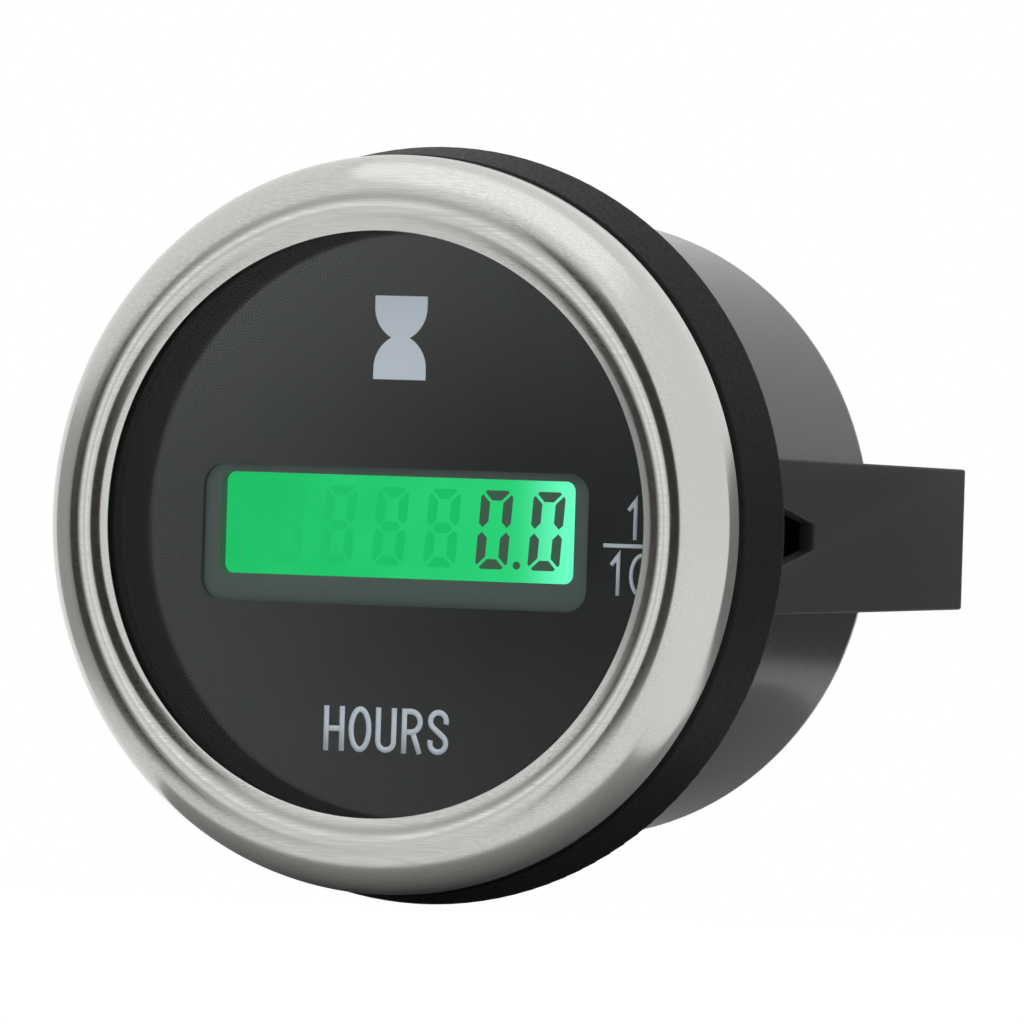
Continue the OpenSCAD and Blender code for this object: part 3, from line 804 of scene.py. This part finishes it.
    def tenths(self) -> bpy.types.Object:
        """Draws the tenths mark: a one over a bar over a ten.

        Returns:
            The piece.
        """
        bm = bmesh.new()
        y = self.front()
        for stem, top, tall in self.ones:
            Pen(bm, stem - self.flag[0], top - self.flag[1], y).line(stem, top).line(stem, top - tall)
        left, right, level = self.bar
        Pen(bm, left, level, y).line(right, level)
        self.oval(bm, *self.nought)
        return self.inked(bm, "tenths_print", self.thin_stroke)

    def inked(self, bm: bmesh.types.BMesh, name: str, width: float) -> bpy.types.Object:
        """Gives the drawn lines their thickness and width.

        Args:
            bm: The drawn lines.
            name: The piece's name.
            width: The stroke's width in millimetres.

        Returns:
            The piece.
        """
        grown = bmesh.ops.extrude_edge_only(bm, edges=bm.edges[:])
        fresh = [part for part in grown["geom"] if isinstance(part, bmesh.types.BMVert)]
        bmesh.ops.translate(bm, verts=fresh, vec=(0, -FILM_MM * MM, 0))
        bmesh.ops.recalc_face_normals(bm, faces=bm.faces)
        piece = make_piece(bm, name, LEGEND_INK, Body.METER, "dial_black")
        ink = piece.modifiers.new("ink_width", "SOLIDIFY")
        ink.thickness = width * MM
        ink.offset = 0.0
        ink.use_even_offset = True
        return piece

    def build(self) -> None:
        """Builds the three prints."""
        self.hourglass()
        self.word()
        self.tenths()


def raise_film(bm: bmesh.types.BMesh) -> None:
    """Raises flat faces into a film that stands forward of the surface they lie on.

    Args:
        bm: The flat faces.
    """
    grown = bmesh.ops.extrude_face_region(bm, geom=bm.faces[:], use_keep_orig=True)
    fresh = [part for part in grown["geom"] if isinstance(part, bmesh.types.BMVert)]
    bmesh.ops.translate(bm, verts=fresh, vec=(0, -FILM_MM * MM, 0))
    bmesh.ops.recalc_face_normals(bm, faces=bm.faces)


class Bar(Enum):
    """The seven bars of a digit."""

    TOP = "top"
    UPPER_LEFT = "upper left"
    UPPER_RIGHT = "upper right"
    MIDDLE = "middle"
    LOWER_LEFT = "lower left"
    LOWER_RIGHT = "lower right"
    FOOT = "foot"


@dataclass
class Digits:
    """The counter's digits: two zeros and a point switched on, and four digits that only just show."""

    width: float = 2.82
    height: float = 6.4
    bar_w: float = 0.82
    gap: float = 0.26
    corner: float = 0.36
    tip: float = 0.42
    slant_deg: float = 4.0
    pitch: float = 4.62
    first_x: float = 8.20
    middle_z: float = -0.14
    point_x: float = 10.26
    point_z: float = -2.97
    point_r: float = 0.33

    def front(self) -> float:
        """Gives the glass's front face as a place along y, in millimetres."""
        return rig.box("lcd_panel")[0][1] / MM

    def bar(self, bm: bmesh.types.BMesh, bar: Bar, x: float) -> None:
        """Cuts one bar, with mitred ends, and leans it.

        Args:
            bm: The bmesh that gets it.
            bar: Which bar.
            x: The middle of the digit.
        """
        w, h, t = self.width / 2, self.height / 2, self.bar_w
        boxes = {
            Bar.TOP: (-w, w, h - t, h), Bar.FOOT: (-w, w, -h, t - h), Bar.MIDDLE: (-w, w, -t / 2, t / 2),
            Bar.UPPER_LEFT: (-w, t - w, 0, h), Bar.UPPER_RIGHT: (w - t, w, 0, h),
            Bar.LOWER_LEFT: (-w, t - w, -h, 0), Bar.LOWER_RIGHT: (w - t, w, -h, 0),
        }
        left, right, low, high = boxes[bar]
        middle = Matrix.Translation(Vector(((left + right) / 2, 0, (low + high) / 2)) * MM)
        part = flat_sheet(right - left, high - low, middle @ Matrix.Rotation(math.pi / 2, 4, "X"))
        for point, side, inset in self.cuts(bar):
            away = Vector((side[0], 0, side[1])).normalized()
            cut = Vector((point[0], 0, point[1])) - away * inset
            bmesh.ops.bisect_plane(part, geom=part.verts[:] + part.edges[:] + part.faces[:],
                                   plane_co=cut * MM, plane_no=away, clear_outer=True)
        lean = Matrix.Identity(4)
        lean[0][2] = math.tan(math.radians(self.slant_deg))
        place = Matrix.Translation(Vector((x, self.front(), self.middle_z)) * MM)
        bmesh.ops.transform(part, matrix=place @ lean, verts=part.verts)
        join(bm, part)

    def cuts(self, bar: Bar) -> list[tuple[tuple[float, float], tuple[float, float], float]]:
        """Lists the cuts of a bar: the mitres, the blunted corners of the digit and the points at its waist.

        Args:
            bar: Which bar.

        Returns:
            For each cut a point, the side that falls away, and how far back from the point it lies.
        """
        w, h = self.width / 2, self.height / 2
        waist = w - self.tip * self.bar_w
        half_gap = self.gap / 2
        if bar is Bar.MIDDLE:
            return [((across * waist, 0), (across, up), half_gap) for across in (-1, 1) for up in (-1, 1)]
        up = 1 if bar in (Bar.TOP, Bar.UPPER_LEFT, Bar.UPPER_RIGHT) else -1
        level = bar in (Bar.TOP, Bar.FOOT)
        sides = (-1, 1) if level else ((-1,) if bar in (Bar.UPPER_LEFT, Bar.LOWER_LEFT) else (1,))
        found = []
        for side in sides:
            away = (side, -up) if level else (-side, up)
            found.append(((side * w, up * h), away, half_gap))
            found.append(((side * w, up * h), (side, up), self.corner))
            if not level:
                found += [((side * waist, 0), (across, -up), half_gap) for across in (-1, 1)]
        return found

    def build(self) -> None:
        """Builds the bars that are on, the point, and the bars that are off."""
        lit, resting = bmesh.new(), bmesh.new()
        for number in range(-4, 2):
            x = self.first_x + number * self.pitch
            on = number >= 0
            for bar in Bar:
                if not (on and bar is Bar.MIDDLE):
                    self.bar(lit if on else resting, bar, x)
        dot = Matrix.Translation(Vector((self.point_x, self.front(), self.point_z)) * MM)
        bmesh.ops.create_circle(lit, cap_ends=True, segments=24, radius=self.point_r * MM,
                                matrix=dot @ Matrix.Rotation(math.pi / 2, 4, "X"))
        for bm, name, finish in ((lit, "digits_on", LIQUID_CRYSTAL),
                                 (resting, "digits_off", RESTING_CRYSTAL)):
            raise_film(bm)
            make_piece(bm, name, finish, Body.METER, "lcd_green")


@dataclass
class Bracket:
    """The folded clamp, with the soft edges that a coat of paint leaves."""

    edge: float = 0.22
    flat_deg: float = 0.5
    sharp_deg: float = 40.0

    def build(self) -> bpy.types.Object:
        """Rounds the edges of a copy of the solid.

        Returns:
            The piece.
        """
        bm = bmesh.new()
        bm.from_mesh(frame["nodes"]["clamp_bracket"].data)
        bmesh.ops.remove_doubles(bm, verts=bm.verts, dist=MERGE_MM * MM)
        bmesh.ops.dissolve_limit(bm, angle_limit=math.radians(self.flat_deg), verts=bm.verts, edges=bm.edges)
        least = math.radians(self.sharp_deg)
        sharp = [e for e in bm.edges if len(e.link_faces) == 2 and e.calc_face_angle() > least]
        bmesh.ops.bevel(bm, geom=sharp, offset=self.edge * MM, offset_type="OFFSET", affect="EDGES",
                        segments=3, profile=0.5, material=-1, clamp_overlap=True)
        bmesh.ops.recalc_face_normals(bm, faces=bm.faces)
        return make_piece(bm, "bracket_coated", BRACKET, Body.CLAMP, "bracket_coat", "clamp_bracket")


@dataclass
class Studs:
    """The two threaded studs behind the case."""

    crest_r: float = 2.0
    pitch: float = 0.7
    depth: float = 0.38
    apart: float = 28.0
    point: float = 0.7
    point_scale: float = 0.8
    steps: int = 28

    def build(self) -> bpy.types.Object:
        """Winds both threads.

        Returns:
            The piece.
        """
        low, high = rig.box("mounting_studs")
        back, end = low[1] / MM, high[1] / MM
        bm = bmesh.new()
        for side in (-1, 1):
            thread = self.thread(back, end)
            bmesh.ops.translate(thread, verts=thread.verts, vec=(side * self.apart / 2 * MM, 0, 0))
            join(bm, thread)
        return make_piece(bm, "threaded_studs", ZINC, Body.METER, "zinc_steel", "mounting_studs", 60.0)

    def thread(self, back: float, end: float) -> bmesh.types.BMesh:
        """Winds one thread about the y axis and cuts it to length.

        Args:
            back: Where it starts, in millimetres.
            end: Where it ends.

        Returns:
            The bmesh of the thread.
        """
        bm = bmesh.new()
        root_r = self.crest_r - self.depth
        flat = self.pitch / 8
        rise = (self.pitch - 2 * flat) / 2
        y = back - 2 * self.pitch
        pen = Pen(bm, root_r, y)
        while y < end + self.pitch:
            pen.line(root_r, y + flat).line(self.crest_r, y + flat + rise)
            pen.line(self.crest_r, y + 2 * flat + rise).line(root_r, y + self.pitch)
            y += self.pitch
        bmesh.ops.rotate(bm, verts=bm.verts, cent=(0, 0, 0), matrix=Matrix.Rotation(-math.pi / 2, 3, "X"))
        bmesh.ops.spin(bm, geom=bm.verts[:] + bm.edges[:], cent=(0, 0, 0), axis=(0, 1, 0), angle=math.tau,
                       dvec=(0, self.pitch * MM / self.steps, 0), steps=self.steps)
        bmesh.ops.remove_doubles(bm, verts=bm.verts, dist=MERGE_MM * MM)
        for place, side in ((back, -1), (end, 1)):
            bmesh.ops.bisect_plane(bm, geom=bm.verts[:] + bm.edges[:] + bm.faces[:],
                                   plane_co=(0, place * MM, 0), plane_no=(0, side, 0), clear_outer=True)
        tip = [v for v in bm.verts if v.co.y > (end - self.point) * MM]
        bmesh.ops.scale(bm, vec=(self.point_scale, 1, self.point_scale), verts=tip)
        bmesh.ops.holes_fill(bm, edges=[e for e in bm.edges if e.is_boundary])
        bmesh.ops.recalc_face_normals(bm, faces=bm.faces)
        return bm


@dataclass(frozen=True)
class Card:
    """An upright card of the room, with its angles in degrees from straight in front and from the level."""

    name: str
    across: tuple[float, float]
    up: tuple[float, float]
    far: float
    grey: float


# Two black flags for the dark stripes in the steel at 3 and 9 o'clock, a grey wall on the left, and a grey
# card behind on the right
CARDS = (
    Card("right_flag", (-8, 14), (-22, 33), 550, 0.008),
    Card("left_flag", (-57, -37), (-26, 12), 550, 0.008),
    Card("left_wall", (-105, -57), (-35, 12), 600, 0.5),
    Card("rear_flag", (138, 172), (-18, 9), 650, 0.25),
)


@dataclass
class Studio:
    """The white room: even light, a pale floor, the things that the part mirrors, a lamp and the camera."""

    floor_z: float = -200.0
    floor_front: float = -3000.0
    floor_back: float = 4000.0
    floor_half: float = 3000.0
    floor_grey: float = 0.9
    floor_glow: float = 0.14
    cloth_far: float = 600.0
    cloth_az: float = -16.0
    cloth_inner: float = 17.0
    cloth_outer: float = 31.0
    cloth_grey: float = 0.55
    board_place: tuple[float, float, float] = (-235.6, -586.5, -3.9)
    board_r: float = 90.0
    board_fade: float = 66.0
    board_top: float = 33.0
    board_light: float = 1.2
    board_lift: float = 1.65
    table_size: tuple[float, float] = (70.0, 92.0)
    table_y: float = 30.0
    table_z: float = -32.0
    table_grey: float = 0.4
    box_place: tuple[float, float, float] = (0.0, -150.0, 800.0)
    box_half: float = 450.0
    box_light: float = 1.4
    camera_far: float = 968.0
    camera_lens: float = 415.6
    camera_sensor: float = 36.0
    camera_shift: tuple[float, float] = (0.0737, 0.0133)
    camera_right: tuple[float, float, float] = (0.91338, 0.40594, 0.03077)
    camera_up: tuple[float, float, float] = (-0.03058, -0.00695, 0.99951)

    def build(self) -> None:
        """Sets up the room."""
        bpy.context.scene.view_settings.view_transform = "Standard"
        self.world()
        self.floor()
        self.cloth()
        for card in CARDS:
            self.card(card)
        self.table()
        self.board()
        self.softbox()
        self.camera()

    def world(self) -> None:
        """Lights the room evenly with white."""
        world = bpy.data.worlds.new("white_room")
        world.use_nodes = True
        tree = world.node_tree
        tree.nodes.clear()
        sky = add_node(tree, "ShaderNodeBackground", {"Color": grey(1.0), "Strength": 1.0})
        add_node(tree, "ShaderNodeOutputWorld", {"Surface": sky.outputs[0]})
        bpy.context.scene.world = world

    def stage_piece(self, bm: bmesh.types.BMesh, name: str, shader: str,
                    inputs: dict[Union[str, int], Socket], hidden: bool = True) -> bpy.types.Object:
        """Turns a bmesh into a thing of the room.

        Args:
            bm: The shape, which is freed.
            name: Its name.
            shader: The type of its shader node.
            inputs: The shader's values.
            hidden: Whether the camera looks through it.

        Returns:
            The thing.
        """
        mesh = bpy.data.meshes.new(name)
        bm.to_mesh(mesh)
        bm.free()
        paint = bpy.data.materials.new(name)
        paint.use_nodes = True
        paint.node_tree.nodes.clear()
        made = add_node(paint.node_tree, shader, inputs)
        add_node(paint.node_tree, "ShaderNodeOutputMaterial", {"Surface": made.outputs[0]})
        mesh.materials.append(paint)
        thing = bpy.data.objects.new(name, mesh)
        bpy.context.scene.collection.objects.link(thing)
        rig.stage(thing)
        if hidden:
            thing.visible_camera = False
        return thing

    def floor(self) -> None:
        """Lays the pale floor; a little light of its own for the eye makes it as white as the room."""
        middle = Vector((0, (self.floor_back + self.floor_front) / 2, self.floor_z)) * MM
        bm = flat_sheet(2 * self.floor_half, self.floor_back - self.floor_front, Matrix.Translation(middle))
        thing = self.stage_piece(bm, "floor", "ShaderNodeBsdfPrincipled", {
            "Base Color": grey(self.floor_grey), "Roughness": 0.9, "Specular IOR Level": 0.0,
            "Emission Color": grey(1.0)}, hidden=False)
        tree = thing.data.materials[0].node_tree
        paint = next(n for n in tree.nodes if n.type == "BSDF_PRINCIPLED")
        path = add_node(tree, "ShaderNodeLightPath")
        seen = add_node(tree, "ShaderNodeMath", {
            0: path.outputs["Is Camera Ray"], 1: path.outputs["Is Glossy Ray"]}, operation="MAXIMUM")
        seen = add_node(tree, "ShaderNodeMath", {
            0: seen.outputs[0], 1: path.outputs["Is Transmission Ray"]}, operation="MAXIMUM")
        glow = add_node(tree, "ShaderNodeMath", {0: seen.outputs[0], 1: self.floor_glow},
                        operation="MULTIPLY")
        tree.links.new(glow.outputs[0], paint.inputs["Emission Strength"])

    def facing(self, place: Vector) -> Matrix:
        """Gives the matrix that sets a flat shape at a place, facing the object.

        Args:
            place: The place, in metres.

        Returns:
            The matrix.
        """
        return Matrix.Translation(place) @ place.to_track_quat("Z", "Y").to_matrix().to_4x4()

    def cloth(self) -> None:
        """Hangs a ring of grey cloth in front, which draws the soft line in the steel above and below."""
        bm = bmesh.new()
        turn = math.radians(self.cloth_az)
        place = Vector((math.sin(turn), -math.cos(turn), 0)) * self.cloth_far * MM
        inner = math.tan(math.radians(self.cloth_inner)) * self.cloth_far * MM
        outer = math.tan(math.radians(self.cloth_outer)) * self.cloth_far * MM
        start = bm.verts.new((inner, 0, 0))
        edge = bmesh.ops.extrude_vert_indiv(bm, verts=[start])
        edge["verts"][0].co.x = outer
        bmesh.ops.spin(bm, geom=[start] + edge["verts"] + edge["edges"], cent=(0, 0, 0), axis=(0, 0, 1),
                       angle=math.tau, steps=64, use_merge=True)
        bmesh.ops.transform(bm, matrix=self.facing(place), verts=bm.verts)
        self.stage_piece(bm, "grey_cloth", "ShaderNodeBsdfDiffuse", {"Color": grey(self.cloth_grey)})

    def card(self, card: Card) -> None:
        """Stands up a card that the part mirrors.

        Args:
            card: The card.
        """
        turn = math.radians(sum(card.across) / 2)
        wide = 2 * math.tan(math.radians(card.across[1] - card.across[0]) / 2)
        low, high = (math.tan(math.radians(angle)) for angle in card.up)
        place = Vector((math.sin(turn), -math.cos(turn), (low + high) / 2)) * card.far * MM
        upright = Matrix.Rotation(turn, 4, "Z") @ Matrix.Rotation(math.pi / 2, 4, "X")
        bm = flat_sheet(wide * card.far, (high - low) * card.far, Matrix.Translation(place) @ upright)
        self.stage_piece(bm, card.name, "ShaderNodeBsdfDiffuse", {"Color": grey(card.grey)})

    def table(self) -> None:
        """Lays a small board close under the part for the dark below the rings."""
        place = Matrix.Translation(Vector((0, self.table_y, self.table_z)) * MM)
        bm = flat_sheet(*self.table_size, place)
        self.stage_piece(bm, "table", "ShaderNodeBsdfDiffuse", {"Color": grey(self.table_grey)})

    def board(self) -> None:
        """Hangs the board that the dial mirrors: dark on the right, and paler to the left and the top."""
        bm = bmesh.new()
        place = Vector(self.board_place) * MM
        bmesh.ops.create_circle(bm, cap_ends=True, segments=48, radius=self.board_r * MM,
                                matrix=Matrix.Translation(place) @ Matrix.Rotation(math.pi / 2, 4, "X"))
        thing = self.stage_piece(bm, "dial_board", "ShaderNodeEmission", {"Color": grey(1.0)})
        tree = thing.data.materials[0].node_tree
        glow = next(n for n in tree.nodes if n.type == "EMISSION")
        spot = add_node(tree, "ShaderNodeTexCoord").outputs["Object"]
        off = add_node(tree, "ShaderNodeVectorMath", {0: spot, 1: tuple(place)}, operation="DISTANCE")
        fade = add_node(tree, "ShaderNodeMapRange", {
            "Value": off.outputs["Value"], "From Max": self.board_fade * MM, "To Max": self.board_light})
        height = add_node(tree, "ShaderNodeSeparateXYZ", {"Vector": spot}).outputs["Z"]
        rise = add_node(tree, "ShaderNodeMapRange", {
            "Value": height, "From Max": self.board_top * MM, "To Min": 1.0, "To Max": self.board_lift})
        both = add_node(tree, "ShaderNodeMath", {0: fade.outputs["Result"], 1: rise.outputs["Result"]},
                        operation="MULTIPLY")
        tree.links.new(both.outputs[0], glow.inputs["Strength"])

    def softbox(self) -> None:
        """Hangs the large soft lamp overhead."""
        place = Matrix.Translation(Vector(self.box_place) * MM)
        bm = flat_sheet(2 * self.box_half, 2 * self.box_half, place)
        self.stage_piece(bm, "softbox", "ShaderNodeEmission", {
            "Color": grey(1.0), "Strength": self.box_light})

    def camera(self) -> None:
        """Sets the camera at the angle of the photograph."""
        data = bpy.data.cameras.new("camera")
        data.lens = self.camera_lens
        data.sensor_width = self.camera_sensor
        data.shift_x, data.shift_y = self.camera_shift
        right, up = Vector(self.camera_right), Vector(self.camera_up)
        back = right.cross(up).normalized()
        eye = bpy.data.objects.new("camera", data)
        turn = Matrix((right, up, back)).transposed().to_4x4()
        eye.matrix_world = Matrix.Translation(back * self.camera_far * MM) @ turn
        bpy.context.scene.collection.objects.link(eye)
        bpy.context.scene.camera = eye


def dress_nodes() -> None:
    """Gives each solid that stays its finish."""
    for name, finish in NODE_FINISH.items():
        for held in frame["nodes"][name].material_slots:
            held.material = finish.material()
        LOG.info("%s: %s", name, finish.name)


def write_sizes(paths: Iterable[str]) -> None:
    """Writes the box of the solids and the box of the dressed part.

    Args:
        paths: The files to write.
    """
    boxes = {"cad": [list(corner) for corner in CAD_BOX], "visual": [list(corner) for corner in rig.bounds()]}
    for path in paths:
        with open(path, "w", encoding="utf-8") as out:
            json.dump(boxes, out)


def main() -> None:
    """Builds the room, dresses the solids and adds the fine pieces."""
    logging.basicConfig(level=logging.INFO, format="%(message)s")
    Studio().build()
    dress_nodes()
    Bezel().build()
    DialPrint().build()
    Digits().build()
    Bracket().build()
    Studs().build()
    write_sizes(["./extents.json"])


if __name__ == "__main__":
    main()
